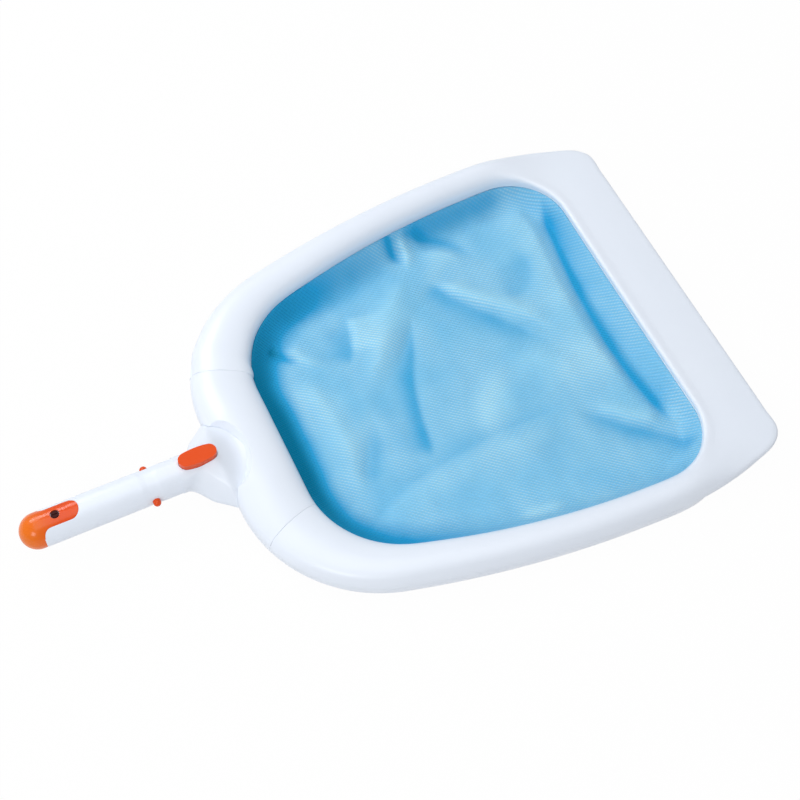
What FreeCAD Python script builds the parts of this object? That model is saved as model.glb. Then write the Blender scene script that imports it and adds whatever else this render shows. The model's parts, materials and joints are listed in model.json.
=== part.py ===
import FreeCAD, Part
import math
import os
import Sketcher
from FreeCAD import Placement, Rotation, Vector

# Leaf skimmer: a hollow two-shell frame clamps a mesh bag, and a spigot handle with snap pins goes
# into a pole. +X runs from the handle to the scoop lip and +Z is up. The origin is under the middle
# of the whole length, on the surface that the frame rests on.

SIZES = (
    ("cap_length", 17.0, "nose cap's dome, from its tip to the spigot's end"),
    ("spigot_length", 109.7, "round spigot, from its end to the neck"),
    ("neck_length", 34.0, "neck, from the spigot to the yoke's rear edge"),
    ("yoke_depth", 53.5, "yoke, front to rear on the centre line"),
    ("opening_length", 310.0, "net opening, front to rear"),
    ("lip_depth", 50.5, "scoop lip, from the net opening to the front edge"),
    ("frame_width", 370.0, "whole frame, side to side at its widest"),
    ("rail_width", 25.5, "frame's side tube at its widest place"),
    ("opening_front_radius", 50.0, "net opening's front corners"),
    ("opening_rear_radius", 80.0, "net opening's rear corners"),
    ("opening_rear_flat", 102.0, "straight part of the net opening's rear edge"),
    ("shoulder_radius", 118.0, "frame's rear shoulders"),
    ("shoulder_flat", 84.0, "straight part of the yoke's rear edge"),
    ("widest_setback", 105.0, "from the front edge back to the widest place"),
    ("side_front_radius", 250.0, "outline ahead of the widest place"),
    ("lip_corner_radius", 17.0, "scoop lip's corners"),
    ("fan_drop", 18.0, "rear corners' section fan, toward the centre line"),
    ("seam_angle", 22.0, "seam between yoke and front frame, in degrees off the long axis"),
    ("seam_play", 0.05, "seam's opening, in degrees to each side"),
    ("parting_height", 15.5, "plane where the upper and lower shells meet and clamp the mesh"),
    ("parting_gap", 0.08, "upper shell's rim to the lower shell's rim"),
    ("frame_rise", 14.5, "crest of the side tubes above the parting plane"),
    ("yoke_rise", 19.0, "crest of the yoke above the parting plane"),
    ("lip_rise", 5.6, "bead along the lip's inner edge above the parting plane"),
    ("strip_width", 13.0, "lower clamp strip under the lip's bead"),
    ("strip_depth", 7.0, "lower clamp strip's depth under the parting plane"),
    ("shell_wall", 2.4, "wall of the frame's shells"),
    ("mesh_slit", 0.6, "slit between the shells for the mesh"),
    ("mesh_thickness", 0.4, "mesh where it is clamped"),
    ("mesh_hem", 2.6, "clamped mesh behind the opening's edge"),
    ("bag_wall", 0.8, "mesh bag below the clamp, as a soft solid"),
    ("bag_clearance", 0.6, "mesh bag to the frame's inner edge"),
    ("bag_slope", 14.0, "bag's foot inside its rim, all round"),
    ("bag_lift", 0.6, "bag's floor above the resting surface"),
    ("cord_radius", 1.5, "cord in the mesh's hem"),
    ("cord_offset", 4.6, "cord's centre line behind the opening's edge"),
    ("cord_clearance", 0.2, "cord to its channel"),
    ("boss_radius", 4.4, "screw bosses in the shells"),
    ("screw_radius", 1.5, "self-tapping screw's shank"),
    ("screw_head_radius", 2.8, "self-tapping screw's head"),
    ("screw_head_height", 2.0, "self-tapping screw's head"),
    ("screw_sink", 3.0, "screw heads above the resting surface"),
    ("screw_tip", 27.5, "frame screws' tips above the resting surface"),
    ("neck_screw_tip", 19.0, "neck screws' tips above the resting surface"),
    ("cover_screw_length", 8.0, "neck cover screws' shanks"),
    ("middle_screw_setback", 163.5, "side tubes' middle screws, behind the opening's front"),
    ("front_screw_setback", 78.5, "side tubes' front screws, behind the opening's front"),
    ("bar_length", 46.0, "joining bar, across the seam"),
    ("bar_width", 14.0, "joining bar, from side to side"),
    ("bar_height", 11.0, "joining bar, upright"),
    ("bar_hole_reach", 14.0, "joining bar's screw holes, each side of the seam"),
    ("bar_clearance", 0.1, "joining bar to the bosses that clamp it"),
    ("spigot_radius", 14.3, "outside of the spigot, which goes into the pole"),
    ("spigot_wall", 2.3, "spigot's wall"),
    ("spigot_height", 26.0, "spigot's axis above the resting surface"),
    ("neck_shoulder", 0.4, "step round the neck where the spigot ends"),
    ("relief_setback", 4.0, "full-size part of the spigot, to the snap pins' near side"),
    ("relief_depth", 0.4, "spigot's relief round the snap pins"),
    ("relief_slope", 4.0, "relief's slope, along the spigot"),
    ("neck_rise", 15.2, "neck's crest above the spigot's axis"),
    ("neck_fall", 11.0, "fall of the neck's crest, under the yoke's notch"),
    ("ridge_start", 17.0, "from the neck's start to where its ridges part"),
    ("ridge_half_width", 9.4, "half of the neck's top beside the button"),
    ("ridge_spread", 21.0, "each ridge's way outward, up to the yoke"),
    ("ridge_rise", 11.3, "ridges above the spigot's axis, beside the button"),
    ("ridge_fall", 9.0, "ridges' way down, up to the yoke"),
    ("neck_half_width", 40.0, "half of the neck's width at the yoke"),
    ("neck_edge_radius", 4.8, "neck's lower outer edge"),
    ("neck_wall", 2.5, "neck's wall"),
    ("neck_seat", 27.5, "part of the neck that reaches into the yoke"),
    ("neck_clearance", 0.2, "neck to the yoke's seat"),
    ("collar_reach", 21.5, "horseshoe notch in the yoke's top, from its rear edge"),
    ("notch_half_width", 33.0, "half of the horseshoe notch's width"),
    ("notch_level", 30.0, "height at which the notch has its stated size"),
    ("notch_slope", 0.7, "notch's widening per rise"),
    ("notch_wall", 2.6, "wall that stands on the neck round the notch"),
    ("pin_reach", 87.5, "from the spigot's end to the snap pins"),
    ("pin_radius", 3.1, "snap pin"),
    ("pin_proud", 4.4, "snap pin's tip beyond the spigot"),
    ("pin_travel", 4.4, "snap pin's way in"),
    ("pin_clearance", 0.05, "snap pin in its guide, on the radius"),
    ("guide_radius", 4.0, "snap pins' guide bosses"),
    ("guide_reach", 9.6, "inner face of the guide bosses, from the axis"),
    ("pin_head_radius", 3.8, "snap pin's inner head"),
    ("pin_head_height", 3.5, "snap pin's inner head"),
    ("peg_radius", 1.2, "peg on the pin's head that the fork moves"),
    ("peg_length", 7.2, "peg's end, from the pin's axis"),
    ("button_reach", 128.2, "from the spigot's end to the button's middle"),
    ("button_length", 31.0, "button, along the handle"),
    ("button_width", 14.0, "button, across the handle"),
    ("button_end_radius", 6.2, "button's ends, seen from above"),
    ("button_proud", 3.2, "button's top above the neck's crest"),
    ("button_travel", 4.0, "button's way down"),
    ("button_clearance", 0.25, "button in its hole"),
    ("flange_border", 1.6, "button's flange beyond its cap"),
    ("flange_height", 2.0, "button's flange"),
    ("flange_top", 10.6, "button's flange above the spigot's axis"),
    ("fork_gap", 0.4, "fork to the pins' heads and to the guide bosses"),
    ("fork_thickness", 2.6, "fork's cam plate, along the handle"),
    ("fork_half_width", 10.8, "fork's legs, from the axis"),
    ("fork_drop", 0.6, "fork's legs below the spigot's axis"),
    ("fork_slope", 1.1, "cam faces, inward for each millimetre up"),
    ("fork_play", 0.1, "cam faces to the pegs"),
    ("arm_width", 8.0, "fork's arm, across the handle"),
    ("arm_rise", 5.4, "fork arm's underside above the spigot's axis"),
    ("arm_height", 3.1, "fork's arm, upright"),
    ("arm_end", 142.3, "fork arm's end, from the spigot's end"),
    ("fork_screw_reach", 138.0, "fork's screw, from the spigot's end"),
    ("spring_reach", 130.0, "button spring, from the spigot's end"),
    ("spring_radius", 3.5, "button spring's mean radius"),
    ("spring_wire", 0.9, "button spring's wire"),
    ("spring_turns", 6.0, "button spring's turns"),
    ("spring_peg_radius", 2.6, "pegs that hold the button spring"),
    ("clip_start", 13.0, "V spring's bend, from the spigot's end"),
    ("clip_thickness", 0.8, "V spring's strip"),
    ("clip_height", 7.0, "V spring's strip, upright"),
    ("clip_play", 0.1, "V spring to the pins' heads"),
    ("plug_length", 18.0, "nose cap's plug inside the spigot"),
    ("plug_clearance", 0.1, "plug in the spigot"),
    ("tongue_length", 31.5, "nose cap's tongue on the spigot's top"),
    ("tongue_half_width", 8.2, "half of the tongue's width"),
    ("tongue_thickness", 1.4, "nose cap's tongue"),
    ("tongue_corner", 7.9, "tongue's corners"),
    ("tongue_root", 4.65, "tongue's root, wider than the tongue on each side"),
    ("tongue_fillet", 7.0, "fillets between the tongue's sides and the dome"),
    ("tongue_clearance", 0.1, "tongue in its recess"),
    ("eye_reach", 13.2, "cap screw, from the spigot's end"),
    ("eye_radius", 3.7, "hole in the tongue round the cap screw"),
    ("cap_screw_head", 3.2, "cap screw's head, on the radius"),
    ("cap_screw_length", 8.0, "cap screw's shank"),
    ("cover_start", 118.5, "neck cover's rear end, from the spigot's end"),
    ("cover_length", 24.0, "neck cover, along the handle"),
    ("cover_width", 20.0, "neck cover, across the handle"),
    ("cover_thickness", 2.0, "neck cover"),
    ("cover_ledge", 1.6, "ledge that the neck cover sits against"),
    ("cover_clearance", 0.2, "neck cover in its opening"),
)

doc = FreeCAD.newDocument("leaf_skimmer")
sheet = doc.addObject("Spreadsheet::Sheet", "sizes")
for row, (alias, number, note) in enumerate(SIZES, start=1):
    sheet.set("A%d" % row, alias)
    sheet.set("B%d" % row, str(number))
    sheet.set("C%d" % row, note)
    sheet.setAlias("B%d" % row, alias)
doc.recompute()
size = {alias: float(sheet.get(alias)) for alias, number, note in SIZES}


class Length:
    """A length that keeps its value together with the formula that ties it to the sheet."""

    def __init__(self, value, text):
        self.value = value
        self.text = text

    def __add__(self, other):
        other = tied(other)
        return Length(self.value + other.value, "(%s + %s)" % (self.text, other.text))

    def __sub__(self, other):
        other = tied(other)
        return Length(self.value - other.value, "(%s - %s)" % (self.text, other.text))

    def __mul__(self, other):
        other = tied(other)
        return Length(self.value * other.value, "(%s * %s)" % (self.text, other.text))

    def __truediv__(self, other):
        other = tied(other)
        return Length(self.value / other.value, "(%s / %s)" % (self.text, other.text))

    def __neg__(self):
        return Length(-self.value, "(0 - %s)" % self.text)


def tied(thing):
    """The named size, or a plain number, as a Length."""
    if isinstance(thing, Length):
        return thing
    if isinstance(thing, str):
        return Length(size[thing], "sizes." + thing)
    return Length(float(thing), repr(float(thing)))


def root(length):
    return Length(math.sqrt(length.value), "sqrt(%s)" % length.text)


# Places along the long axis.
whole_length = tied("cap_length")
for name in ("spigot_length", "neck_length", "yoke_depth", "opening_length", "lip_depth"):
    whole_length = whole_length + tied(name)
spigot_start = tied("cap_length") - whole_length / 2
axis_height = tied("spigot_height")
spigot_x = spigot_start.value
neck_x = spigot_x + size["spigot_length"]
yoke_x = neck_x + size["neck_length"]
opening_x = yoke_x + size["yoke_depth"]
lip_x = opening_x + size["opening_length"]
front_x = lip_x + size["lip_depth"]
parting = size["parting_height"]
axis_z = size["spigot_height"]
opening_half_width = size["frame_width"] / 2 - size["rail_width"]


# Plan outlines: a rear straight, a rear corner, a long side arc and a front corner.
def turned(centre, radius, angle):
    """The point of a circle at an angle from its rearmost side toward its outer side."""
    return centre + Vector(-radius * math.cos(angle), radius * math.sin(angle), 0)


def rear_and_side(rear_x, flat, corner, widest, half_width):
    """Edges from the centre line's far side to the widest place, each tangent to the next."""
    centre = Vector(rear_x + corner, flat / 2, 0)
    turn = 2 * math.atan2(half_width - centre.y - corner, widest - centre.x)
    side_radius = corner + (widest - centre.x) / math.sin(turn)
    side_centre = Vector(widest, half_width - side_radius, 0)
    join = math.pi / 2 - turn
    return [
        Part.makeLine(Vector(rear_x, -flat, 0), turned(centre, corner, 0)),
        Part.Arc(turned(centre, corner, 0), turned(centre, corner, join / 2),
                 turned(centre, corner, join)).toShape(),
        Part.Arc(turned(centre, corner, join), turned(side_centre, side_radius, join + turn / 2),
                 turned(side_centre, side_radius, math.pi / 2)).toShape(),
    ]


def opening_half(outward=0.0):
    """Half of the net opening's edge, moved outward by a distance."""
    corner = size["opening_front_radius"] + outward
    widest = lip_x - size["opening_front_radius"]
    half_width = opening_half_width + outward
    edges = rear_and_side(opening_x - outward, size["opening_rear_flat"],
                          size["opening_rear_radius"] + outward, widest, half_width)
    centre = Vector(widest, half_width - corner, 0)
    edges.append(Part.Arc(turned(centre, corner, math.pi / 2), turned(centre, corner, math.pi * 0.75),
                          turned(centre, corner, math.pi)).toShape())
    edges.append(Part.makeLine(turned(centre, corner, math.pi),
                               Vector(lip_x + outward, -half_width, 0)))
    return edges


def frame_half():
    """Half of the frame's outer edge."""
    widest = front_x - size["widest_setback"]
    half_width = size["frame_width"] / 2
    side = size["side_front_radius"]
    corner = size["lip_corner_radius"]
    edges = rear_and_side(yoke_x, size["shoulder_flat"], size["shoulder_radius"], widest, half_width)
    side_centre = Vector(widest, half_width - side, 0)
    bend = math.pi - math.acos((front_x - corner - widest) / (side - corner))
    corner_centre = turned(side_centre, side - corner, bend)
    edges.append(Part.Arc(turned(side_centre, side, math.pi / 2),
                          turned(side_centre, side, (math.pi / 2 + bend) / 2),
                          turned(side_centre, side, bend)).toShape())
    edges.append(Part.Arc(turned(corner_centre, corner, bend),
                          turned(corner_centre, corner, (bend + math.pi) / 2),
                          turned(corner_centre, corner, math.pi)).toShape())
    edges.append(Part.makeLine(turned(corner_centre, corner, math.pi),
                               Vector(front_x, -half_width, 0)))
    return edges


def closed_wire(outward, height):
    """The whole net opening's edge, moved outward by a distance."""
    half = opening_half(outward)
    flat = half[1].Vertexes[0].Point
    front = half[4].Vertexes[0].Point
    edges = [Part.makeLine(Vector(flat.x, -flat.y, 0), flat)] + half[1:4]
    edges.append(Part.makeLine(front, Vector(front.x, -front.y, 0)))
    edges += [edge.mirror(Vector(0, 0, 0), Vector(0, 1, 0)) for edge in reversed(half[1:4])]
    wire = Part.Wire(Part.sortEdges(edges)[0])
    wire.translate(Vector(0, 0, height))
    return wire


opening_edge = Part.Compound(opening_half())
frame_edge = Part.Compound(frame_half())


def across(pivot, angle):
    """Where a ray from the pivot, at an angle from +X, meets the opening's edge and the outline."""
    aim = Vector(math.cos(math.radians(angle)), math.sin(math.radians(angle)), 0)
    ray = Part.makeLine(pivot, pivot + aim * size["frame_width"])
    return opening_edge.distToShape(ray)[1][0][0], frame_edge.distToShape(ray)[1][0][0]


# Cross-sections, as shares of the width from the opening outward and of the height.
TUBE_TOP = ((0, 0), (0.015, 0.28), (0.07, 0.53), (0.17, 0.74), (0.36, 0.93), (0.60, 1.0),
            (0.80, 0.87), (0.92, 0.63), (0.98, 0.34), (1, 0))
LIP_TOP = ((0, 0), (0, 0.5), (0.025, 0.92), (0.08, 0.97), (0.16, 0.84), (0.38, 0.80),
           (0.62, 0.73), (0.85, 0.60), (0.97, 0.48), (1, 0))
FLANK = ((0, 0), (0.01, 0.32), (0.045, 0.62), (0.12, 0.86), (0.26, 1.0))
DIP = (0.5, 1.04)


def station(pivot, angle, rise, lip_share=0.0, strip_share=0.0):
    """One cross-section's place: edge points, rise, shape, and its reach and depth below."""
    near, far = across(pivot, angle)
    reach = (far - near).Length * (1 - strip_share) + size["strip_width"] * strip_share
    depth = parting * (1 - strip_share) + size["strip_depth"] * strip_share
    return {"near": near, "far": far, "rise": rise, "lip": lip_share, "reach": reach, "depth": depth}


def upper_points(one, inset=0.0):
    """Cross-section above the parting plane. An inset one is the hollow, and it pokes through."""
    aim = (one["far"] - one["near"]).normalize()
    width = (one["far"] - one["near"]).Length - 2 * inset
    points = []
    for tube, lip in zip(TUBE_TOP, LIP_TOP):
        along = tube[0] + (lip[0] - tube[0]) * one["lip"]
        up = (tube[1] + (lip[1] - tube[1]) * one["lip"]) * (one["rise"] - inset)
        points.append(one["near"] + aim * (inset + width * along) + Vector(0, 0, parting + up))
    if inset:
        points[0] += Vector(0, 0, -1)
        points[-1] += Vector(0, 0, -1)
    return points


def lower_points(one, inset=0.0):
    """Cross-section below the parting plane. Its bottom dips a little, to be cut off flat."""
    aim = (one["far"] - one["near"]).normalize()
    width = one["reach"] - 2 * inset
    depth = one["depth"] - inset
    shape = FLANK + (DIP,) + tuple((1 - along, down) for along, down in reversed(FLANK))
    points = [one["near"] + aim * (inset + width * along) + Vector(0, 0, parting - depth * down)
              for along, down in shape]
    rim = 1 if inset else -size["parting_gap"]
    points[0] += Vector(0, 0, rim)
    points[-1] += Vector(0, 0, rim)
    return points


def skinned(grid):
    """Solid under one smooth surface through the sections, closed by a plane and two end faces."""
    surface = Part.BSplineSurface()
    surface.interpolate(grid)
    face = surface.toShape()
    u0, u1, v0, v1 = surface.bounds()
    first = surface.uIso(u0).toShape()
    last = surface.uIso(u1).toShape()
    near = surface.vIso(v0).toShape()
    far = surface.vIso(v1).toShape()
    first_chord = Part.makeLine(grid[0][0], grid[0][-1])
    last_chord = Part.makeLine(grid[-1][0], grid[-1][-1])
    faces = [face, Part.Face(Part.Wire([first, first_chord])),
             Part.Face(Part.Wire([last, last_chord])), Part.makeRuledSurface(near, far)]
    shell = Part.Shell(faces)
    shell.sewShape()
    solid = Part.Solid(Part.Shell(shell.Faces))
    if solid.Volume < 0:
        solid.reverse()
    return solid


rear_pivot = Vector(opening_x + size["opening_rear_radius"],
                    size["opening_rear_flat"] / 2 - size["fan_drop"], 0)
front_pivot = Vector(lip_x - size["opening_front_radius"],
                     opening_half_width - size["opening_front_radius"], 0)
seam = 180 - size["seam_angle"]


def spread(start, end, count):
    """Evenly spaced numbers from start to end, both included."""
    return [start + (end - start) * step / (count - 1) for step in range(count)]


def side_stations(start):
    """The front frame's half tube, from an angle near the seam to the front corner."""
    rise = size["frame_rise"]
    found = [station(rear_pivot, angle, rise) for angle in spread(start, 90, 10)]
    for place in spread(rear_pivot.x, front_pivot.x, 9)[1:]:
        found.append(station(Vector(place, 0, 0), 90, rise))
    return found


def lip_stations():
    """The front corner, where the tube flattens into the lip, and the lip to past its middle."""
    found = []
    for angle in spread(90, 0, 12)[1:]:
        share = min(1.0, (90 - angle) / 65)
        share = share * share * (3 - 2 * share)
        rise = size["frame_rise"] + (size["lip_rise"] - size["frame_rise"]) * share
        found.append(station(front_pivot, angle, rise, share, share))
    for across_y in spread(front_pivot.y, 0, 6)[1:]:
        found.append(station(Vector(front_pivot.x, across_y, 0), 0, size["lip_rise"], 1.0, 1.0))
    return found


def yoke_stations(start, end):
    """The yoke's half, from an angle near the seam to the centre line or past it."""
    rise = size["yoke_rise"] - size["frame_rise"]
    found = []
    for angle in spread(start, 180, 6):
        share = (angle - start) / (180 - start)
        found.append(station(rear_pivot, angle, size["frame_rise"] + rise * share))
    for across_y in spread(rear_pivot.y, end, 4)[1:]:
        found.append(station(Vector(rear_pivot.x, across_y, 0), 180, size["yoke_rise"]))
    return found


def ring(inward, outward, low, high):
    """Flat ring along the opening's edge, between two offsets and two heights."""
    outer = Part.Face(closed_wire(outward, low)).extrude(Vector(0, 0, high - low))
    return outer.cut(Part.Face(closed_wire(-inward, low)).extrude(Vector(0, 0, high - low)))


def round_cord(radius):
    """Round bar that follows the opening's edge, inside the hem."""
    path = closed_wire(size["cord_offset"], parting)
    first = path.OrderedEdges[0]
    profile = Part.makeCircle(radius, first.valueAt(first.FirstParameter),
                              first.tangentAt(first.FirstParameter))
    return path.makePipeShell([Part.Wire(profile)], True, False)


def post(radius, place, low, high):
    return Part.makeCylinder(radius, high - low, Vector(place.x, place.y, low))


def box(low, high):
    return Part.makeBox(high[0] - low[0], high[1] - low[1], high[2] - low[2], Vector(*low))


def cut_all(shape, tools):
    for tool in tools:
        shape = shape.cut(tool)
    return shape


def mirrored(rows):
    return [[Vector(point.x, -point.y, point.z) for point in row] for row in rows]


def both(rows):
    """A half run of sections and its mirror image, as one run."""
    return rows + mirrored(rows[:-1])[::-1]


def both_places(places):
    return places + [Vector(place.x, -place.y, 0) for place in places]


# Screw places: the front frame's tubes, the yoke, and the neck's seat in the yoke.
seam_near, seam_far = across(rear_pivot, seam)
seam_middle = (seam_near + seam_far) * 0.5
seam_across = (seam_far - seam_near).normalize()
seam_along = Vector(seam_across.y, -seam_across.x, 0)
front_places = [seam_middle + seam_along * size["bar_hole_reach"]]
for one in (station(rear_pivot, 112, 1),
            station(Vector(lip_x - size["middle_screw_setback"], 0, 0), 90, 1),
            station(Vector(lip_x - size["front_screw_setback"], 0, 0), 90, 1)):
    front_places.append((one["near"] + one["far"]) * 0.5)
front_places = both_places(front_places)
yoke_places = both_places([
    seam_middle - seam_along * size["bar_hole_reach"],
    Vector(yoke_x + size["yoke_depth"] * 0.5, size["neck_half_width"] + 4, 0)])
neck_places = both_places([Vector(yoke_x + 9, size["neck_half_width"] * 0.65, 0),
                           Vector(yoke_x + 19, size["neck_half_width"] * 0.25, 0)])
seat = size["screw_sink"] + size["screw_head_height"]
bar_middle = (seat + size["screw_tip"]) / 2
bar_turn = math.degrees(math.atan2(seam_along.y, seam_along.x))


def bar_placement(side):
    return Placement(Vector(seam_middle.x, side * seam_middle.y, bar_middle),
                     Rotation(Vector(0, 0, 1), side * bar_turn))


def bar_space(side):
    """Space for a joining bar between the bosses that clamp it."""
    gap = size["bar_clearance"]
    half = (size["bar_length"] / 2 + gap, size["bar_width"] / 2 + gap, size["bar_height"] / 2 + gap)
    space = box([-share for share in half], half)
    space.Placement = bar_placement(side)
    return space


seat_end = yoke_x + size["neck_seat"] - 0.3

# The neck opens from a round tube into a wide bell with a flat foot.
def eased(share):
    share = min(1.0, max(0.0, share))
    return share * share * (3 - 2 * share)


def neck_points(place, grow):
    """Neck section over the top from foot to foot, at a place along X, grown outward."""
    share = min(1.0, max(0.0, (place - neck_x) / (yoke_x - neck_x)))
    bell = eased(share / 0.6)
    foot = size["spigot_radius"] + grow
    radius = foot + size["neck_shoulder"]
    flare = (size["neck_half_width"] - size["spigot_radius"]) * share ** 1.08
    ahead = min(1.0, max(0.0, place - yoke_x) / size["neck_seat"])
    half = (size["spigot_radius"] + flare) * math.sqrt(max(0.08, 1 - ahead * ahead)) + grow
    top = size["neck_rise"] + grow - size["neck_fall"] * eased((place - yoke_x + 6) / 24)
    edge = size["neck_edge_radius"] + grow
    flank = [(half - edge * (1 - math.cos(turn)), edge * (1 + math.sin(turn)) - foot)
             for turn in (-math.pi / 2, -math.pi / 4, 0, math.pi / 3)]
    reach, low = flank[-1]
    parted = max(0.0, place - neck_x - size["ridge_start"]) / (size["neck_length"] - size["ridge_start"])
    parted = 1.2 * parted * parted / (parted + 0.2)
    parted = parted / (1 + (parted / 1.15) ** 6) ** (1 / 6)
    ridge = min(size["ridge_half_width"] + size["ridge_spread"] * parted + grow * 0.4, reach * 0.8)
    crest = min(size["ridge_rise"] - size["ridge_fall"] * parted + grow, top - 0.6)
    crest = max(crest, low + 1.5)
    for step in (0.3, 0.6, 0.88, 1.0):
        flank.append((reach + (ridge - reach) * step, low + (crest - low) * step ** 0.9))
    for step in (0.85, 0.6, 0.3, 0):
        flank.append((ridge * step, crest + (top - crest) * (1 - step ** 1.7)))
    points = []
    for turn, (bell_y, bell_z) in zip(spread(math.radians(-78), math.pi / 2, len(flank)), flank):
        round_y = radius * math.cos(turn)
        round_z = radius * math.sin(turn)
        points.append(Vector(place, round_y + (bell_y - round_y) * bell,
                             axis_z + round_z + (bell_z - round_z) * bell))
    return points + [Vector(point.x, -point.y, point.z) for point in reversed(points[:-1])]


def neck_solid(start, end, count, grow=0.0):
    places = spread(start, end, count)
    places[-1] += max(0.0, grow)
    return skinned([neck_points(place, grow) for place in places])


def add(name, shape):
    """A sub-part whose form no primitive or sketch gives."""
    thing = doc.addObject("Part::Feature", name)
    thing.Label = name
    solids = shape.Solids
    thing.Shape = solids[0] if len(solids) == 1 else Part.makeCompound(solids)
    return thing


def flat_bottom(hull):
    return hull.cut(box((-500, -500, -20), (500, 500, 0)))


wall = size["shell_wall"]
play = size["seam_play"]
side_rows = side_stations(seam - play)
side_void_rows = side_stations(seam + 1.5)
front_rows = side_rows + lip_stations()
yoke_rows = yoke_stations(seam + play, 0)
yoke_void_rows = yoke_stations(seam - 1.5, 0)
groove_reach = size["cord_radius"] + size["cord_clearance"]
groove = ring(groove_reach - size["cord_offset"], size["cord_offset"] + groove_reach,
              parting - groove_reach, parting + groove_reach)
groove = groove.common(box((front_pivot.x - 1, -500, 0), (front_x, 500, 60)))
slit = ring(2.0, size["cord_offset"], parting - size["mesh_slit"], parting)
bars = [bar_space(1), bar_space(-1)]
neck_gap = neck_solid(neck_x, seat_end, 17, size["neck_clearance"])


def notch_space(border):
    """The yoke's notch, which widens upward, grown by a border."""
    wires = []
    for height in (parting - 1, parting + size["yoke_rise"] + 2):
        wider = border + (height - size["notch_level"]) * size["notch_slope"]
        centre = Vector(yoke_x - 2, 0, height)
        edge = Part.Ellipse(centre + Vector(0, size["notch_half_width"] + wider, 0),
                            centre + Vector(size["collar_reach"] + 2 + wider, 0, 0), centre)
        wires.append(Part.Wire(edge.toShape()))
    return Part.makeLoft(wires, True, True)


notch = notch_space(0)


def upper_holes(places):
    return [post(size["screw_radius"], place, parting - 1, size["screw_tip"]) for place in places]


def lower_holes(places):
    cuts = []
    for place in places:
        cuts.append(post(size["screw_radius"] + 0.2, place, -1, parting + 1))
        cuts.append(post(size["screw_head_radius"] + 0.3, place, -1, seat))
    return cuts


def cores(voids, places):
    """The hollows, less the bosses that stand in them."""
    return [cut_all(void, [post(size["boss_radius"], place, -5, 60) for place in places])
            for void in voids]


half_rows = [upper_points(one, wall) for one in side_void_rows]
voids = cores([skinned(half_rows), skinned(mirrored(half_rows))], front_places)
front_upper = skinned(both([upper_points(one) for one in front_rows]))
front_upper = cut_all(front_upper, voids + upper_holes(front_places) + bars + [groove])
add("front_frame_upper", front_upper)

half_rows = [lower_points(one, wall) for one in side_void_rows]
voids = cores([skinned(half_rows), skinned(mirrored(half_rows))], front_places)
front_lower = flat_bottom(skinned(both([lower_points(one) for one in front_rows])))
front_lower = cut_all(front_lower, voids + lower_holes(front_places) + bars + [groove, slit])
add("front_frame_lower", front_lower)

voids = cores([skinned(both([upper_points(one, wall) for one in yoke_void_rows]))], yoke_places)
voids = [void.cut(notch_space(size["notch_wall"])) for void in voids]
yoke_upper = skinned(both([upper_points(one) for one in yoke_rows]))
yoke_upper = cut_all(yoke_upper, voids + upper_holes(yoke_places) + bars + [notch, neck_gap])
add("yoke_upper", yoke_upper)

lower_places = yoke_places + neck_places
voids = cores([skinned(both([lower_points(one, wall) for one in yoke_void_rows]))], lower_places)
yoke_lower = flat_bottom(skinned(both([lower_points(one) for one in yoke_rows])))
yoke_lower = cut_all(yoke_lower, voids + lower_holes(lower_places) + bars + [slit, neck_gap])
add("yoke_lower", yoke_lower)


# Mesh bag: a soft tray that hangs from the clamped edge, and the cord in its hem.
def bag_solid(inset, lift):
    rims = [(size["bag_clearance"], parting - 0.1), (3.5, 6.0), (size["bag_slope"], size["bag_lift"])]
    return Part.makeLoft([closed_wire(-distance - inset, height + lift) for distance, height in rims],
                         True, True)


bag_wall = size["bag_wall"]
mesh_low = parting - (size["mesh_slit"] + size["mesh_thickness"]) / 2
mesh_high = mesh_low + size["mesh_thickness"]
bag = bag_solid(0, 0).cut(bag_solid(bag_wall, bag_wall))
bag = bag.cut(box((-500, -500, mesh_high), (500, 500, 60)))
bag = bag.fuse(ring(size["bag_clearance"] + bag_wall, size["mesh_hem"], mesh_low, mesh_high))
add("mesh_bag", bag.removeSplitter())
add("mesh_rim_cord", round_cord(size["cord_radius"]))

# Handle body: spigot tube, bell-shaped neck and its seat in the yoke.
radius = size["spigot_radius"]
bore = radius - size["spigot_wall"]
pin_x = spigot_x + size["pin_reach"]
button_x = spigot_x + size["button_reach"]
foot_z = axis_z - radius
along_x = Vector(1, 0, 0)
neck_hull = neck_solid(neck_x, seat_end, 17)
relief_x = pin_x - size["pin_radius"] - size["relief_setback"]
relief_end = 2 * pin_x - relief_x
slope = size["relief_slope"]
waist = radius - size["relief_depth"]
tube_outline = [Vector(spigot_x, 0, 0), Vector(spigot_x, radius, 0), Vector(relief_x, radius, 0),
                Vector(relief_x + slope, waist, 0), Vector(relief_end - slope, waist, 0),
                Vector(relief_end, radius, 0), Vector(neck_x + 0.5, radius, 0),
                Vector(neck_x + 0.5, 0, 0), Vector(spigot_x, 0, 0)]
tube = Part.Face(Part.makePolygon(tube_outline)).revolve(Vector(0, 0, 0), along_x, 360)
tube.translate(Vector(0, 0, axis_z))
bore_space = Part.makeCylinder(bore, neck_x - spigot_x + 1, Vector(spigot_x - 0.5, 0, axis_z), along_x)
neck_void = neck_solid(neck_x - 1, yoke_x + 12, 13, -size["neck_wall"])
screw_posts = [post(size["boss_radius"], place, foot_z - 1, size["neck_screw_tip"] + 4)
               for place in neck_places]
neck_void = cut_all(neck_void, screw_posts)
cover_x = spigot_x + size["cover_start"]
cover_end = cover_x + size["cover_length"]
ledge_top = foot_z + size["cover_thickness"] + size["cover_ledge"]
cover_screw_places = [Vector(cover_x + 3.6, 0, 0), Vector(cover_end - 3.8, 0, 0)]
cover_screw_end = foot_z + size["cover_thickness"] + size["cover_screw_length"]
ledge_half = size["cover_width"] / 2 + 2
keep = [box((cover_x - 2, -ledge_half, foot_z), (cover_end + 2, ledge_half, ledge_top))]
keep += [post(3.2, place, foot_z, cover_screw_end - 0.5) for place in cover_screw_places]
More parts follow.
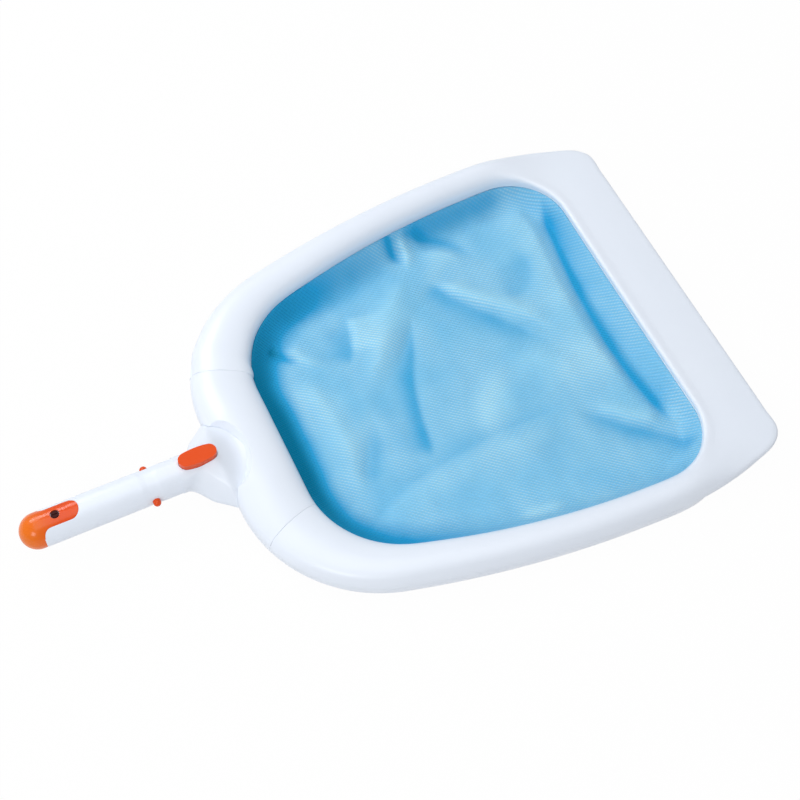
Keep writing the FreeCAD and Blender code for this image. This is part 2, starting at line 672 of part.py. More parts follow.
neck_void = cut_all(neck_void, keep)
handle = tube.fuse(neck_hull)
handle = handle.cut(bore_space).cut(neck_void)
for side in (1, -1):
    guide = Part.makeCylinder(size["guide_radius"], radius - 1.4 - size["guide_reach"],
                              Vector(pin_x, side * size["guide_reach"], axis_z), Vector(0, side, 0))
    handle = handle.fuse(guide)
for side in (1, -1):
    hole = Part.makeCylinder(size["pin_radius"] + size["pin_clearance"], radius + 2,
                             Vector(pin_x, side * 2, axis_z), Vector(0, side, 0))
    handle = handle.cut(hole)
gap = size["tongue_clearance"]
recess_floor = radius - size["tongue_thickness"] - gap
tongue_half = size["tongue_half_width"] + gap
recess_length = size["tongue_length"] + gap + 1
recess = Part.makeCylinder(radius + 2, recess_length, Vector(spigot_x - 1, 0, axis_z), along_x)
recess = recess.cut(Part.makeCylinder(recess_floor, 200, Vector(spigot_x - 20, 0, axis_z), along_x))
fillet = size["tongue_fillet"]
root_half = tongue_half + size["tongue_root"]
plan = box((spigot_x - 2, -root_half, axis_z), (spigot_x + fillet, root_half, axis_z + 30))
for side in (1, -1):
    plan = plan.cut(post(fillet - gap, Vector(spigot_x + fillet, side * (tongue_half + fillet - gap), 0),
                         axis_z - 1, axis_z + 31))
round_end = size["tongue_corner"] + gap
recess_end = spigot_x + size["tongue_length"] + gap
round_x = recess_end - round_end
round_y = tongue_half - round_end
plan = plan.fuse(box((spigot_x - 2, -tongue_half, axis_z), (round_x, tongue_half, axis_z + 30)))
plan = plan.fuse(box((round_x - 1, -round_y, axis_z), (recess_end, round_y, axis_z + 30)))
for side in (1, -1):
    plan = plan.fuse(post(round_end, Vector(round_x, side * round_y, 0), axis_z, axis_z + 30))
handle = handle.cut(recess.common(plan))
eye = Vector(spigot_x + size["eye_reach"], 0, 0)
handle = handle.cut(post(size["screw_radius"] + 0.2, eye, axis_z, axis_z + 30))


def oval_wire(half_length, half_width, end_radius, height):
    """Four tangent arcs round a middle."""
    run = half_length - end_radius
    side_radius = (run * run + half_width * half_width - end_radius * end_radius) / (
        2 * (half_width - end_radius))
    share = side_radius / (side_radius - end_radius)
    join = Vector(run * share, (side_radius - half_width) * (share - 1), height)
    edges = []
    for sign in (1, -1):
        top = Vector(0, sign * half_width, height)
        edges.append(Part.Arc(Vector(-join.x, sign * join.y, height), top,
                              Vector(join.x, sign * join.y, height)).toShape())
        edges.append(Part.Arc(Vector(sign * join.x, join.y, height), Vector(sign * half_length, 0, height),
                              Vector(sign * join.x, -join.y, height)).toShape())
    return Part.Wire(Part.sortEdges(edges)[0])


def oval_space(border, low, high):
    space = Part.Face(oval_wire(size["button_length"] / 2 + border, size["button_width"] / 2 + border,
                                size["button_end_radius"] + border, 0)).extrude(Vector(0, 0, high - low))
    space.translate(Vector(button_x, 0, low))
    return space


gap = size["button_clearance"]
flange_z = axis_z + size["flange_top"]
handle = handle.cut(oval_space(gap, flange_z, axis_z + 40))
handle = handle.cut(oval_space(size["flange_border"] + gap, axis_z + 2, flange_z + gap))
gap = size["cover_clearance"]
half = size["cover_width"] / 2 + gap
cover_top = foot_z + size["cover_thickness"]
handle = handle.cut(box((cover_x - gap, -half, 0), (cover_end + gap, half, cover_top)))
handle = handle.cut(box((cover_x + 7.2, -half + 3, 0), (cover_end - 8, half - 3, ledge_top + 1)))
for place in cover_screw_places:
    handle = handle.cut(post(size["screw_radius"], place, 0, cover_screw_end))
for place in neck_places:
    handle = handle.cut(post(size["screw_radius"] + 0.02, place, 0, size["neck_screw_tip"]))
add("handle_body", handle)


def screw(place, seat_z, tip_z):
    """Self-tapping screw from below: a shank with a chamfered tip, and a cylindrical head."""
    shank = size["screw_radius"]
    head = size["screw_head_radius"]
    low = seat_z - size["screw_head_height"]
    outline = [Vector(0, 0, low), Vector(head - 0.4, 0, low), Vector(head, 0, low + 0.4),
               Vector(head, 0, seat_z), Vector(shank, 0, seat_z), Vector(shank, 0, tip_z - 1),
               Vector(shank - 0.9, 0, tip_z), Vector(0, 0, tip_z), Vector(0, 0, low)]
    turned_shape = Part.Face(Part.makePolygon(outline)).revolve(Vector(0, 0, 0), Vector(0, 0, 1), 360)
    drive = box((-1.6, -0.4, low - 1), (1.6, 0.4, low + 0.9))
    cross = box((-0.4, -1.6, low - 1), (0.4, 1.6, low + 0.9))
    turned_shape = turned_shape.cut(drive).cut(cross)
    turned_shape.translate(Vector(place.x, place.y, 0))
    return turned_shape


def screws(name, places, seat_z, tip_z):
    add(name, Part.makeCompound([screw(place, seat_z, tip_z) for place in places]))


screws("front_frame_screws", front_places, seat, size["screw_tip"] - 0.3)
screws("yoke_screws", yoke_places, seat, size["screw_tip"] - 0.3)
screws("neck_screws", neck_places, seat, size["neck_screw_tip"] - 0.3)
screws("neck_cover_screws", cover_screw_places, foot_z + 1, cover_screw_end - 0.3)

# Button spring: an open coil between the neck cover and the fork's arm.
coil_low = foot_z + size["cover_thickness"] + size["spring_wire"] / 2
coil_high = axis_z + size["arm_rise"] - size["spring_wire"] / 2
helix = Part.makeHelix((coil_high - coil_low) / size["spring_turns"], coil_high - coil_low,
                       size["spring_radius"])
wire_round = Part.makeCircle(size["spring_wire"] / 2, Vector(size["spring_radius"], 0, 0),
                             Vector(0, 1, 0))
coil = Part.Wire(helix).makePipeShell([Part.Wire(wire_round)], True, True)
coil.translate(Vector(spigot_x + size["spring_reach"], 0, coil_low))
add("button_spring", coil)

# Sketched parts of the handle. Their frame starts at the spigot's end, on its axis.
bodies = []


def body_at(name, x, z):
    body = doc.addObject("PartDesign::Body", name)
    body.Label = name
    body.setExpression("Placement.Base.x", x.text)
    body.setExpression("Placement.Base.z", z.text)
    bodies.append(body)
    return body


def pin_point(sketch, geometry, end, u, v):
    """Fixes a point of a sketch by its distances from the origin."""
    for place, kind, axis in ((u, "DistanceX", -2), (v, "DistanceY", -1)):
        if place is None:
            continue
        place = tied(place)
        if place.value == 0 and place.text == "0.0":
            sketch.addConstraint(Sketcher.Constraint("PointOnObject", geometry, end, axis))
            continue
        number = sketch.addConstraint(Sketcher.Constraint(kind, -1, 1, geometry, end, place.value))
        sketch.setExpression("Constraints[%d]" % number, place.text)


def new_sketch(body, name, role, lift=None):
    sketch = body.newObject("Sketcher::SketchObject", name)
    plane = [part for part in body.Origin.OriginFeatures if part.Role == role][0]
    sketch.AttachmentSupport = [(plane, "")]
    sketch.MapMode = "FlatFace"
    if lift is not None:
        sketch.setExpression("AttachmentOffset.Base.z", tied(lift).text)
    return sketch


def corner(u, v, centre=None, way=1):
    """A vertex of an outline. With a centre, the edge that leaves it is an arc about the centre."""
    return {"u": tied(u), "v": tied(v), "centre": centre, "way": way}


def outline(sketch, corners):
    """Closed outline of lines and arcs, each vertex tied to the sheet."""
    edges = []
    for here, there in zip(corners, corners[1:] + corners[:1]):
        start = Vector(here["u"].value, here["v"].value, 0)
        stop = Vector(there["u"].value, there["v"].value, 0)
        if here["centre"] is None:
            edges.append((sketch.addGeometry(Part.LineSegment(start, stop), False), 1, 2))
            continue
        centre = Vector(tied(here["centre"][0]).value, tied(here["centre"][1]).value, 0)
        first, last = (start, stop) if here["way"] > 0 else (stop, start)
        angles = [math.atan2(point.y - centre.y, point.x - centre.x) for point in (first, last)]
        circle = Part.Circle(centre, Vector(0, 0, 1), (start - centre).Length)
        arc = sketch.addGeometry(Part.ArcOfCircle(circle, angles[0], angles[1]), False)
        edges.append((arc, 1, 2) if here["way"] > 0 else (arc, 2, 1))
    for (edge, begin, end), (after, begin_after, end_after) in zip(edges, edges[1:] + edges[:1]):
        sketch.addConstraint(Sketcher.Constraint("Coincident", edge, end, after, begin_after))
    for here, there, (edge, begin, end) in zip(corners, corners[1:] + corners[:1], edges):
        pin_point(sketch, edge, begin, here["u"], here["v"])
        if here["centre"] is not None:
            chord_u = abs(there["u"].value - here["u"].value)
            chord_v = abs(there["v"].value - here["v"].value)
            u, v = here["centre"]
            pin_point(sketch, edge, 3, u if chord_v > chord_u else None,
                      None if chord_v > chord_u else v)


def circle(sketch, u, v, circle_radius):
    circle_radius = tied(circle_radius)
    round_edge = Part.Circle(Vector(tied(u).value, tied(v).value, 0), Vector(0, 0, 1), circle_radius.value)
    geometry = sketch.addGeometry(round_edge, False)
    pin_point(sketch, geometry, 3, u, v)
    number = sketch.addConstraint(Sketcher.Constraint("Radius", geometry, circle_radius.value))
    sketch.setExpression("Constraints[%d]" % number, circle_radius.text)


def rectangle(sketch, u0, v0, u1, v1):
    outline(sketch, [corner(u0, v0), corner(u1, v0), corner(u1, v1), corner(u0, v1)])


def revolve(body, name, sketch, axis):
    feature = body.newObject("PartDesign::Revolution", name)
    feature.Profile = sketch
    feature.ReferenceAxis = (sketch, [axis])
    feature.Angle = 360
    sketch.Visibility = False
    body.Tip = feature
    return feature


def pad(body, name, sketch, length, midplane=False):
    feature = body.newObject("PartDesign::Pad", name)
    feature.Profile = sketch
    feature.setExpression("Length", tied(length).text)
    feature.Midplane = midplane
    body.Tip = feature
    return feature


def pocket(body, name, sketch, length, midplane=False, upward=False):
    """Cuts down from the sketch, or up, and makes sure that something was cut."""
    doc.recompute()
    before = body.Shape.Volume
    feature = body.newObject("PartDesign::Pocket", name)
    feature.Profile = sketch
    feature.setExpression("Length", tied(length).text)
    feature.Midplane = midplane
    feature.Reversed = upward
    body.Tip = feature
    doc.recompute()
    if not body.Shape.Volume < before - 0.01:
        raise ValueError(body.Label + ": " + name + " cuts nothing")
    return feature


spigot_radius = tied("spigot_radius")

# Nose cap: a turned dome, its tongue with a filleted root and rounded corners, a turned plug,
# screw holes and the spring's slot.
cap = body_at("nose_cap", spigot_start, axis_height)
collar = tied("cap_length") - spigot_radius
plug_radius = spigot_radius - tied("spigot_wall") - tied("plug_clearance")
plug_end = tied("plug_length")
profile = new_sketch(cap, "dome_profile", "XZ_Plane")
outline(profile, [
    corner(-tied("cap_length"), 0, (-collar, 0), -1),
    corner(-collar, spigot_radius),
    corner(0, spigot_radius),
    corner(0, 0),
])
revolve(cap, "dome_turned", profile, "H_Axis")
half_tongue = tied("tongue_half_width")
tongue_under = spigot_radius - tied("tongue_thickness")
root_fillet = tied("tongue_fillet")


def curved_strip(name, half, length):
    """A strip on the spigot's top, between the tongue's under side and the spigot's surface."""
    outer_rise = root(spigot_radius * spigot_radius - half * half)
    under_rise = root(tongue_under * tongue_under - half * half)
    section = new_sketch(cap, name + "_section", "YZ_Plane")
    outline(section, [
        corner(-half, under_rise, (0, 0), -1),
        corner(half, under_rise),
        corner(half, outer_rise, (0, 0), 1),
        corner(-half, outer_rise),
    ])
    pad(cap, name + "_pad", section, length)


curved_strip("tongue_root", half_tongue + tied("tongue_root"), root_fillet)
for way, name in ((1, "left"), (-1, "right")):
    fillet_cut = new_sketch(cap, "root_fillet_" + name, "XY_Plane")
    circle(fillet_cut, root_fillet, (half_tongue + root_fillet) * way, root_fillet)
    pocket(cap, "root_fillet_cut_" + name, fillet_cut, 30, upward=True)
curved_strip("tongue", half_tongue, "tongue_length")
tongue_end = tied("tongue_length")
round_off = tied("tongue_corner")
past = tongue_end + 1
aside = half_tongue + 1
for way, name in ((1, "left"), (-1, "right")):
    trim = new_sketch(cap, "tongue_corner_" + name, "XY_Plane", tongue_under - 8)
    side = tied(way)
    outline(trim, [
        corner(tongue_end - round_off, side * half_tongue,
               (tongue_end - round_off, side * (half_tongue - round_off)), -way),
        corner(tongue_end, side * (half_tongue - round_off)),
        corner(past, side * (half_tongue - round_off)),
        corner(past, side * aside),
        corner(tongue_end - round_off, side * aside),
    ])
    pocket(cap, "tongue_round_" + name, trim, 30, upward=True)
plug = new_sketch(cap, "plug_profile", "XZ_Plane")
outline(plug, [
    corner(-1, 0),
    corner(-1, plug_radius),
    corner(plug_end - 1, plug_radius),
    corner(plug_end, plug_radius - 1),
    corner(plug_end, 0),
])
revolve(cap, "plug_turned", plug, "H_Axis")
eye_place = tied("eye_reach")
eye_hole = new_sketch(cap, "eye_hole", "XY_Plane", tongue_under - 2)
circle(eye_hole, eye_place, 0, "eye_radius")
pocket(cap, "eye_cut", eye_hole, 10, upward=True)
thread = new_sketch(cap, "screw_hole", "XY_Plane", tongue_under - tied("cap_screw_length"))
circle(thread, eye_place, 0, "screw_radius")
pocket(cap, "screw_hole_cut", thread, "cap_screw_length", upward=True)
slot = new_sketch(cap, "spring_slot", "XY_Plane")
rectangle(slot, tied("clip_start") - 0.3, -(tied("clip_thickness") + 0.3), plug_end + 1,
          tied("clip_thickness") + 0.3)
pocket(cap, "spring_slot_cut", slot, tied("clip_height") + 0.4, midplane=True)

# Cap screw: its head sits on the spigot's recess, under the hole in the tongue.
cap_screw = body_at("nose_cap_screw", spigot_start + eye_place, axis_height)
screw_seat = tongue_under
head_top = screw_seat + 1
shank_radius = tied("screw_radius")
profile = new_sketch(cap_screw, "screw_profile", "XZ_Plane")
shank_end = screw_seat - tied("cap_screw_length") + 0.3
outline(profile, [
    corner(0, shank_end),
    corner(shank_radius - 0.8, shank_end),
    corner(shank_radius, shank_end + 1),
    corner(shank_radius, screw_seat),
    corner("cap_screw_head", screw_seat),
    corner("cap_screw_head", head_top - 0.3),
    corner(tied("cap_screw_head") - 0.4, head_top),
    corner(0, head_top),
])
revolve(cap_screw, "screw_turned", profile, "V_Axis")
drive = new_sketch(cap_screw, "screw_drive", "XY_Plane", head_top)
rectangle(drive, -2, -0.45, 2, 0.45)
pocket(cap_screw, "screw_drive_cut", drive, 0.6)

# Snap pins: turned pin and head, and the peg that the fork moves.
pin_radius = tied("pin_radius")
head_start = tied("guide_reach") - 0.2 - tied("pin_head_height")
peg_place = head_start + 1.5
tip = spigot_radius + tied("pin_proud")
for name, turn in (("snap_pin_left", 0), ("snap_pin_right", 180)):
    pin = body_at(name, spigot_start + tied("pin_reach"), axis_height)
    pin.Placement = Placement(pin.Placement.Base, Rotation(Vector(1, 0, 0), turn))
    profile = new_sketch(pin, name + "_profile", "XY_Plane")
    outline(profile, [
        corner(0, head_start),
        corner("pin_head_radius", head_start),
        corner("pin_head_radius", head_start + tied("pin_head_height")),
        corner(pin_radius, head_start + tied("pin_head_height")),
        corner(pin_radius, tip - pin_radius, (0, tip - pin_radius), 1),
        corner(0, tip),
    ])
    revolve(pin, name + "_turned", profile, "V_Axis")
    peg = new_sketch(pin, name + "_peg", "YZ_Plane", 1)
    circle(peg, peg_place, 0, "peg_radius")
    pad(pin, name + "_peg_pad", peg, tied("peg_length") - 1)

# Release button: a flange under the neck's wall and an oval cap through it.
button = body_at("release_button", spigot_start + tied("button_reach"), axis_height)


def oval(sketch, border):
    """Four tangent arcs, like the button's hole."""
    half_length = tied("button_length") / 2 + border
    half_width = tied("button_width") / 2 + border
    end_radius = tied("button_end_radius") + border
    run = half_length - end_radius
    side_radius = (run * run + half_width * half_width - end_radius * end_radius) / (
        (half_width - end_radius) * 2)
    share = side_radius / (side_radius - end_radius)
    join_u = run * share
    join_v = (side_radius - half_width) * (share - 1)
    outline(sketch, [
        corner(join_u, -join_v, (run, 0), 1),
        corner(join_u, join_v, (0, half_width - side_radius), 1),
        corner(-join_u, join_v, (-run, 0), 1),
        corner(-join_u, -join_v, (0, side_radius - half_width), 1),
    ])


flange_high = tied("flange_top")
flange_low = flange_high - tied("flange_height")
button_top = tied("neck_rise") + tied("button_proud")
flange = new_sketch(button, "flange_outline", "XY_Plane", flange_low)
oval(flange, tied("flange_border"))
pad(button, "flange_pad", flange, "flange_height")
key = new_sketch(button, "cap_outline", "XY_Plane", flange_high)
oval(key, tied("button_length") * 0)
pad(button, "cap_pad", key, button_top - flange_high)
bolt = new_sketch(button, "button_screw_hole", "XY_Plane", flange_low)
bolt_place = tied("fork_screw_reach") - tied("button_reach")
circle(bolt, bolt_place, 0, 1.2)
pocket(button, "button_screw_cut", bolt, 7, upward=True)

# Release fork: a cam plate astride the pegs, and the arm that carries it from the button.
fork = body_at("release_fork", spigot_start, axis_height)
plate_start = tied("pin_reach") + tied("guide_radius") + tied("fork_gap") - 0.2
arm_low = tied("arm_rise")
arm_high = arm_low + tied("arm_height")
leg = tied("fork_half_width")
slope = tied("fork_slope")
reach = peg_place + tied("peg_radius") * root(slope * slope + 1) + tied("fork_play") * 1.5
leg_end = -tied("fork_drop")
plate = new_sketch(fork, "cam_plate", "YZ_Plane", plate_start)
outline(plate, [
    corner(-leg, leg_end),
    corner(-(reach - slope * leg_end), leg_end),
    corner(-(reach - slope * arm_low), arm_low),
    corner(reach - slope * arm_low, arm_low),
    corner(reach - slope * leg_end, leg_end),
    corner(leg, leg_end),
    corner(leg, arm_low - 1.2),
    corner(leg * 0.7, arm_high),
    corner(-(leg * 0.7), arm_high),
    corner(-leg, arm_low - 1.2),
])
pad(fork, "cam_plate_pad", plate, "fork_thickness")
half_arm = tied("arm_width") / 2
arm = new_sketch(fork, "arm_section", "YZ_Plane", plate_start)
rectangle(arm, -half_arm, arm_low, half_arm, arm_high)
pad(fork, "arm_pad", arm, tied("arm_end") - plate_start)
locator = new_sketch(fork, "spring_locator", "XY_Plane", arm_low - 2)
circle(locator, "spring_reach", 0, "spring_peg_radius")
pad(fork, "spring_locator_pad", locator, 2.5)
bolt = new_sketch(fork, "fork_screw_hole", "XY_Plane", arm_low - 1)
circle(bolt, "fork_screw_reach", 0, 1.4)
pocket(fork, "fork_screw_cut", bolt, tied("arm_height") + 2, upward=True)

# Fork screw, from below through the arm into the button.
fork_screw = body_at("fork_screw", spigot_start + tied("fork_screw_reach"), axis_height)
profile = new_sketch(fork_screw, "fork_screw_profile", "XZ_Plane")
outline(profile, [
    corner(0, arm_low - 1.6),
    corner(2.2, arm_low - 1.6),
    corner(2.6, arm_low - 1.2),
    corner(2.6, arm_low),
    corner(1.2, arm_low),
    corner(1.2, flange_low + 6),
    corner(0.6, flange_low + 6.7),
    corner(0, flange_low + 6.7),
])
revolve(fork_screw, "fork_screw_turned", profile, "V_Axis")
drive = new_sketch(fork_screw, "fork_screw_drive", "XY_Plane", arm_low - 1.6)
rectangle(drive, -1.5, -0.35, 1.5, 0.35)
pocket(fork_screw, "fork_screw_drive_cut", drive, 0.7, upward=True)

# Neck cover: a plate with sunk screw holes and a locator for the button spring.
cover = body_at("neck_cover", spigot_start + tied("cover_start"), axis_height - spigot_radius)
half_cover = tied("cover_width") / 2
plate = new_sketch(cover, "cover_outline", "XY_Plane")
rectangle(plate, 0, -half_cover, "cover_length", half_cover)
pad(cover, "cover_pad", plate, "cover_thickness")
locator = new_sketch(cover, "cover_locator", "XY_Plane")
circle(locator, tied("spring_reach") - tied("cover_start"), 0, "spring_peg_radius")
pad(cover, "cover_locator_pad", locator, tied("cover_thickness") + 2)
for name, place in (("rear", tied(3.6)), ("front", tied("cover_length") - 3.8)):
    hole = new_sketch(cover, "cover_hole_" + name, "XY_Plane")
    circle(hole, place, 0, shank_radius + 0.2)
    pocket(cover, "cover_hole_cut_" + name, hole, "cover_thickness", upward=True)
    sink = new_sketch(cover, "cover_sink_" + name, "XY_Plane")
    circle(sink, place, 0, tied("screw_head_radius") + 0.2)
    pocket(cover, "cover_sink_cut_" + name, sink, 1, upward=True)

# Clip spring: a V of steel strip that pushes both pins out.
clip = body_at("clip_spring", spigot_start, axis_height)
clip_x = tied("clip_start")
clip_end = tied("pin_reach") + 3
strip = tied("clip_thickness")
leg_out = head_start - tied("clip_play")
vee = new_sketch(clip, "vee", "XY_Plane")
outline(vee, [
    corner(clip_x, -(strip * 0.6)),
    corner(clip_end, -leg_out),
    corner(clip_end, strip - leg_out),
    corner(clip_x + strip * 4, 0),
    corner(clip_end, leg_out - strip),
    corner(clip_end, leg_out),
    corner(clip_x, strip * 0.6),
])
pad(clip, "vee_pad", vee, "clip_height", midplane=True)

# Joining bars: clamped between the shells' bosses, with one screw each side of the seam.
for name, side in (("joining_bar_left", 1), ("joining_bar_right", -1)):
    bar = doc.addObject("PartDesign::Body", name)
    bar.Label = name
    bodies.append(bar)
    bar.Placement = bar_placement(side)
    half_length = tied("bar_length") / 2
    half_width = tied("bar_width") / 2
    block = new_sketch(bar, name + "_block", "XY_Plane")
    rectangle(block, -half_length, -half_width, half_length, half_width)
    pad(bar, name + "_pad", block, "bar_height", midplane=True)
    for end, way in (("front", 1), ("rear", -1)):
        hole = new_sketch(bar, name + "_hole_" + end, "XY_Plane")
        circle(hole, tied("bar_hole_reach") * way, 0, shank_radius + 0.1)
        pocket(bar, name + "_hole_cut_" + end, hole, tied("bar_height") + 2, midplane=True)

doc.recompute()
parts = [thing for thing in doc.Objects if thing.TypeId == "Part::Feature"] + bodies
for thing in doc.Objects:
    if "Invalid" in thing.State or "Error" in thing.State:
        raise ValueError(thing.Label + " did not compute")
for thing in parts:
    if thing.Shape.isNull() or not thing.Shape.isValid() or thing.Shape.Volume <= 0:
        raise ValueError(thing.Label + " is not a valid solid")
os.makedirs("parts", exist_ok=True)
for thing in parts:
    thing.Shape.exportStep(os.path.join("parts", thing.Label + ".step"))
    box_of = thing.Shape.BoundBox
    print("%-20s %2d solid(s) %9.1f mm3  x %.1f..%.1f y %.1f..%.1f z %.1f..%.1f" % (
        thing.Label, len(thing.Shape.Solids), thing.Shape.Volume, box_of.XMin, box_of.XMax,
        box_of.YMin, box_of.YMax, box_of.ZMin, box_of.ZMax))
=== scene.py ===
import bpy
import json
import math
from mathutils import Matrix, Vector, noise


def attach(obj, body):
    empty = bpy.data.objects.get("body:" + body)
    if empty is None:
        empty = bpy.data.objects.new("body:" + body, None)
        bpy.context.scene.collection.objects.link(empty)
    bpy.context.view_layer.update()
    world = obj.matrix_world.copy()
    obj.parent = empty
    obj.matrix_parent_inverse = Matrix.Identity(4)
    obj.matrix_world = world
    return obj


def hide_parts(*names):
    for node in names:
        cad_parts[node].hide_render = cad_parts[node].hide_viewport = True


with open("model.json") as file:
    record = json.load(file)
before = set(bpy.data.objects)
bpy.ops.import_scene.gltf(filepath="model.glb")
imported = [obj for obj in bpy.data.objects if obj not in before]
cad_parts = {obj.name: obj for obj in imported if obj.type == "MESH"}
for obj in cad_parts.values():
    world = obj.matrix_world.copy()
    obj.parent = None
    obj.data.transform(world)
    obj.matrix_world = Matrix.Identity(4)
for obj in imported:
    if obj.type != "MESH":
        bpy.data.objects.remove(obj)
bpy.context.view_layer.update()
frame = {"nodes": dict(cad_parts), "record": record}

nodes = frame["nodes"]
print("frame loaded,", len(nodes), "pieces")


# Camera and lamps. Each looks at its target, turned and raised by degrees.
viewpoint = {"turn": 25.02, "above": 57.96, "distance": 1.285, "target": (0.02735, -0.0034, 0.014),
             "lens": 72.0, "film": 36.0, "nearest": 0.05, "farthest": 30.0}
lampTarget = (0.03, 0, 0)
lamps = {
    "keyLamp": {"turn": 157, "above": 41, "distance": 1.7, "size": (0.7, 0.5), "power": 9.2},
    "fillLamp": {"turn": 50, "above": 36, "distance": 1.9, "size": (0.7, 0.6), "power": 8.8},
    "topLamp": {"turn": 100, "above": 84, "distance": 1.8, "size": (1.6, 1.2), "power": 9.8},
}


def aimed(view, target):
    turned = Matrix.Rotation(math.radians(-view["turn"]), 4, "Z")
    raised = Matrix.Rotation(math.radians(90 - view["above"]), 4, "X")
    back = Matrix.Translation((0, 0, view["distance"]))
    return Matrix.Translation(Vector(target)) @ (turned @ raised) @ back


bpy.ops.object.select_all(action="DESELECT")
bpy.ops.object.camera_add()
camera = bpy.context.object
camera.name = "photoCamera"
camera.matrix_world = aimed(viewpoint, viewpoint["target"])
camera.data.lens = viewpoint["lens"]
camera.data.sensor_width = viewpoint["film"]
camera.data.clip_start = viewpoint["nearest"]
camera.data.clip_end = viewpoint["farthest"]
bpy.context.scene.camera = camera

for name, row in lamps.items():
    bpy.ops.object.select_all(action="DESELECT")
    bpy.ops.object.light_add(type="AREA")
    lamp = bpy.context.object
    lamp.name = name
    lamp.matrix_world = aimed(row, lampTarget)
    lamp.data.shape = "RECTANGLE"
    lamp.data.size, lamp.data.size_y = row["size"]
    lamp.data.energy = row["power"]


# Shader nodes. An input is either a value or the output that feeds it.
def addNode(tree, kind, inputs=None, **settings):
    node = tree.nodes.new(kind)
    for name, setting in settings.items():
        setattr(node, name, setting)
    for name, value in (inputs or {}).items():
        if isinstance(value, bpy.types.NodeSocket):
            tree.links.new(value, node.inputs[name])
        else:
            node.inputs[name].default_value = value
    return node


def reckoned(tree, operation, *values):
    return addNode(tree, "ShaderNodeMath", dict(enumerate(values)), operation=operation).outputs[0]


def blended(tree, share, first, second):
    inputs = {"Factor": share, "A": first, "B": second}
    return addNode(tree, "ShaderNodeMix", inputs, data_type="RGBA").outputs["Result"]


def spread(tree, value, low, high, start=0.0, end=1.0, kind="LINEAR"):
    inputs = {"Value": value, "From Min": start, "From Max": end, "To Min": low, "To Max": high}
    return addNode(tree, "ShaderNodeMapRange", inputs, interpolation_type=kind).outputs["Result"]


def cloudy(tree, place, scale, detail):
    inputs = {"Vector": place, "Scale": scale, "Detail": detail}
    return addNode(tree, "ShaderNodeTexNoise", inputs).outputs["Fac"]


def bumpy(tree, height, strength, depth):
    inputs = {"Height": height, "Strength": strength, "Distance": depth}
    return addNode(tree, "ShaderNodeBump", inputs).outputs["Normal"]


def mixedShader(tree, share, first, second):
    return addNode(tree, "ShaderNodeMixShader", {"Fac": share, 1: first, 2: second}).outputs[0]


def newMaterial(name):
    material = bpy.data.materials.new(name)
    material.use_nodes = True
    material.node_tree.nodes.clear()
    return material, material.node_tree


# Studio: a pale floor and a pale room, which the camera sees as nearly white.
studio = {"floorSize": 14, "floorDrop": 0.0002, "floorColour": 0.80, "floorShown": 0.975, "skyLight": 0.47}


def floorMaterial():
    material, tree = newMaterial("studioFloor")
    plain = addNode(tree, "ShaderNodeBsdfDiffuse", {"Color": (studio["floorColour"],) * 3 + (1,)}).outputs[0]
    shown = addNode(tree, "ShaderNodeEmission", {"Color": (1, 1, 1, 1)}).outputs[0]
    rays = addNode(tree, "ShaderNodeLightPath").outputs
    either = reckoned(tree, "MAXIMUM", rays["Is Camera Ray"], rays["Is Glossy Ray"])
    direct = reckoned(tree, "MAXIMUM", either, rays["Is Transmission Ray"])
    share = reckoned(tree, "MULTIPLY", direct, studio["floorShown"])
    addNode(tree, "ShaderNodeOutputMaterial", {"Surface": mixedShader(tree, share, plain, shown)})
    return material


bpy.ops.object.select_all(action="DESELECT")
bpy.ops.mesh.primitive_plane_add(size=studio["floorSize"], location=(0, 0, -studio["floorDrop"]))
floor = bpy.context.object
floor.name = "floor"
floor.data.materials.append(floorMaterial())

world = bpy.data.worlds.new("paleRoom")
bpy.context.scene.world = world
world.use_nodes = True
room = world.node_tree
rays = addNode(room, "ShaderNodeLightPath").outputs
direct = reckoned(room, "MAXIMUM", rays["Is Camera Ray"], rays["Is Transmission Ray"])
sky = room.nodes["Background"]
sky.inputs["Color"].default_value = (1, 1, 1, 1)
room.links.new(spread(room, direct, studio["skyLight"], 1.0), sky.inputs["Strength"])
bpy.context.scene.view_settings.view_transform = "Standard"
print("studio ready")


# Finishes.
moulding = {"cloudScale": 14, "cloudDetail": 3, "smearScale": 45, "smearDetail": 4, "smearFrom": 0.3,
            "smearTo": 0.7, "clearest": 0.8, "dullest": 1.25, "grainDetail": 2, "grainStrength": 0.25,
            "coatRoughness": 0.06}


def mouldedPlastic(name, colour, shade, roughness, coat=0.0, gloss=0.5, tip=None, grainScale=1400.0,
                   grainDepth=0.00002):
    look = moulding
    material, tree = newMaterial(name)
    place = addNode(tree, "ShaderNodeTexCoord").outputs["Object"]
    cloud = cloudy(tree, place, look["cloudScale"], look["cloudDetail"])
    tone = blended(tree, cloud, colour + (1,), shade + (1,))
    if tip:  # another tone toward one end of the piece
        along = addNode(tree, "ShaderNodeSeparateXYZ", {"Vector": place}).outputs["X"]
        nearTip = spread(tree, along, 0.0, 1.0, tip["far"], tip["near"], "SMOOTHSTEP")
        tone = blended(tree, nearTip, tone, tip["colour"] + (1,))
    smear = cloudy(tree, place, look["smearScale"], look["smearDetail"])
    polish = spread(tree, smear, roughness * look["clearest"], roughness * look["dullest"], look["smearFrom"],
                    look["smearTo"])
    grain = cloudy(tree, place, grainScale, look["grainDetail"])
    relief = bumpy(tree, grain, look["grainStrength"], grainDepth)
    shader = addNode(tree, "ShaderNodeBsdfPrincipled", {
        "Base Color": tone, "Roughness": polish, "Normal": relief, "Specular IOR Level": gloss,
        "Coat Weight": coat, "Coat Roughness": look["coatRoughness"]})
    addNode(tree, "ShaderNodeOutputMaterial", {"Surface": shader.outputs[0]})
    return material


brushing = {"lineScale": 600, "lineDetail": 3, "darker": 0.82, "clearest": 0.7, "dullest": 1.3}


